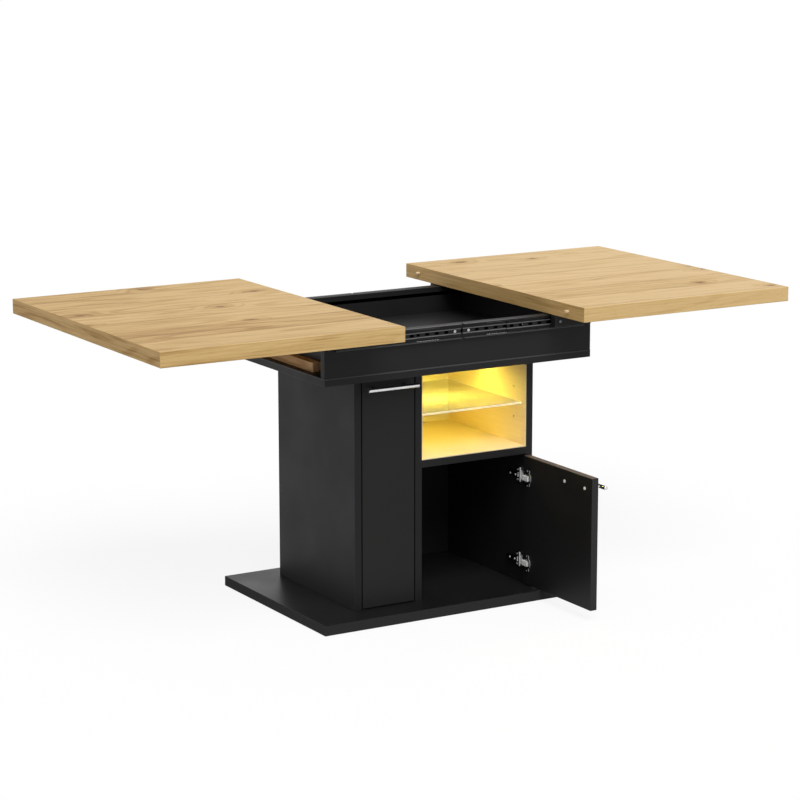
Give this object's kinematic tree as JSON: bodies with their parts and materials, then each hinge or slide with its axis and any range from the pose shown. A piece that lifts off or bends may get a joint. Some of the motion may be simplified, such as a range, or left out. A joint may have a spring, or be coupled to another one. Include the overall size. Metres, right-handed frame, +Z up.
{
  "type": "extending kitchen table with storage cabinet",
  "caption": "Pedestal table whose split top slides apart over a tray, on a cabinet with hinged doors, a lit niche with a glass shelf and a flat base board.",
  "frame": {"origin": "on the floor under the middle of the base board and of the closed top", "axes": "+X along the top's length, towards the niche's side; +Y from the doors to the back; +Z up"},
  "size_m": [1.68, 0.8695, 0.732],
  "materials": {
    "oak": "oak-grain laminate, satin",
    "black_board": "black melamine, fine satin",
    "light_lining": "pale laminate, satin",
    "raw_pine": "raw sawn",
    "dowel_wood": "raw turned",
    "clear_glass": "polished edges",
    "light_aluminium": "anodised",
    "light_lens": "frosted, lit warm white",
    "slide_black": "black zinc, satin",
    "cage_steel": "pressed steel",
    "handle_steel": "brushed, satin",
    "hinge_nickel": "nickel plated",
    "screw_steel": "zinc plated"
  },
  "bodies": {
    "frame": {"base_plate": "black_board", "carcass_screws": "screw_steel", "side_left": "black_board", "side_right": "black_board", "divider": "black_board", "back_panel": "black_board", "fixed_shelf": "black_board", "top_board": "black_board", "niche_liner_floor": "light_lining", "niche_liner_left": "light_lining", "niche_liner_right": "light_lining", "niche_liner_back": "light_lining", "glass_shelf": "clear_glass", "tall_shelves": "black_board", "shelf_pins": "screw_steel", "light_channel": "light_aluminium", "light_diffuser": "light_lens", "apron_bottom": "black_board", "apron_front": "black_board", "apron_back": "black_board", "tray_end_left": "black_board", "tray_end_right": "black_board", "end_cleats": "raw_pine", "tray_floor": "black_board", "tray_bearers": "raw_pine", "apron_bolts": "screw_steel", "apron_screws": "screw_steel", "slide_screws": "screw_steel", "slide_fixed_left": "slide_black", "slide_fixed_right": "slide_black", "hinge_arms": "hinge_nickel", "hinge_pins": "hinge_nickel"},
    "left_top": {"top_left": "oak", "runner_left_front": "black_board", "runner_left_back": "black_board", "slide_inner_left": "slide_black", "runner_screws_left": "screw_steel"},
    "right_top": {"top_right": "oak", "runner_right_front": "black_board", "runner_right_back": "black_board", "slide_inner_right": "slide_black", "runner_screws_right": "screw_steel", "alignment_dowels": "dowel_wood"},
    "left_middle": {"slide_middle_left": "slide_black"},
    "right_middle": {"slide_middle_right": "slide_black"},
    "left_outer_cages": {"outer_cages_left": "cage_steel"},
    "right_outer_cages": {"outer_cages_right": "cage_steel"},
    "left_inner_cages": {"inner_cages_left": "cage_steel"},
    "right_inner_cages": {"inner_cages_right": "cage_steel"},
    "low_door": {"low_door": "black_board", "low_handle": "handle_steel", "low_handle_screws": "screw_steel", "low_hinge_cups": "hinge_nickel"},
    "tall_door": {"tall_door": "black_board", "tall_handle": "handle_steel", "tall_handle_screws": "screw_steel", "tall_hinge_cups": "hinge_nickel"}
  },
  "joints": [
    {"name": "left_top_slide", "type": "slide", "parent": "frame", "child": "left_top", "axis": [1, 0, 0], "range_m": [0, 0.23975]},
    {"name": "right_top_slide", "type": "slide", "parent": "frame", "child": "right_top", "axis": [-1, 0, 0], "range_m": [0, 0.23975]},
    {"name": "left_middle_slide", "type": "slide", "parent": "frame", "child": "left_middle", "axis": [1, 0, 0], "range_m": [0, 0.12]},
    {"name": "left_outer_cages_slide", "type": "slide", "parent": "frame", "child": "left_outer_cages", "axis": [1, 0, 0], "range_m": [0, 0.06]},
    {"name": "left_inner_cages_slide", "type": "slide", "parent": "frame", "child": "left_inner_cages", "axis": [1, 0, 0], "range_m": [0, 0.18]},
    {"name": "right_middle_slide", "type": "slide", "parent": "frame", "child": "right_middle", "axis": [-1, 0, 0], "range_m": [0, 0.12]},
    {"name": "right_outer_cages_slide", "type": "slide", "parent": "frame", "child": "right_outer_cages", "axis": [-1, 0, 0], "range_m": [0, 0.06]},
    {"name": "right_inner_cages_slide", "type": "slide", "parent": "frame", "child": "right_inner_cages", "axis": [-1, 0, 0], "range_m": [0, 0.18]},
    {"name": "low_door_hinge", "type": "hinge", "parent": "frame", "child": "low_door", "pos_m": [0.233, -0.1755, 0.18525], "axis": [0, 0, 1], "range_deg": [-90, 5]},
    {"name": "tall_door_hinge", "type": "hinge", "parent": "frame", "child": "tall_door", "pos_m": [-0.233, -0.1755, 0.303], "axis": [0, 0, -1], "range_deg": [0, 95]}
  ],
  "couplings": [
    {"joint": "left_middle_slide", "follows": "left_top_slide", "ratio": 0.5},
    {"joint": "left_outer_cages_slide", "follows": "left_top_slide", "ratio": 0.25},
    {"joint": "left_inner_cages_slide", "follows": "left_top_slide", "ratio": 0.75},
    {"joint": "right_middle_slide", "follows": "right_top_slide", "ratio": 0.5},
    {"joint": "right_outer_cages_slide", "follows": "right_top_slide", "ratio": 0.25},
    {"joint": "right_inner_cages_slide", "follows": "right_top_slide", "ratio": 0.75}
  ]
}
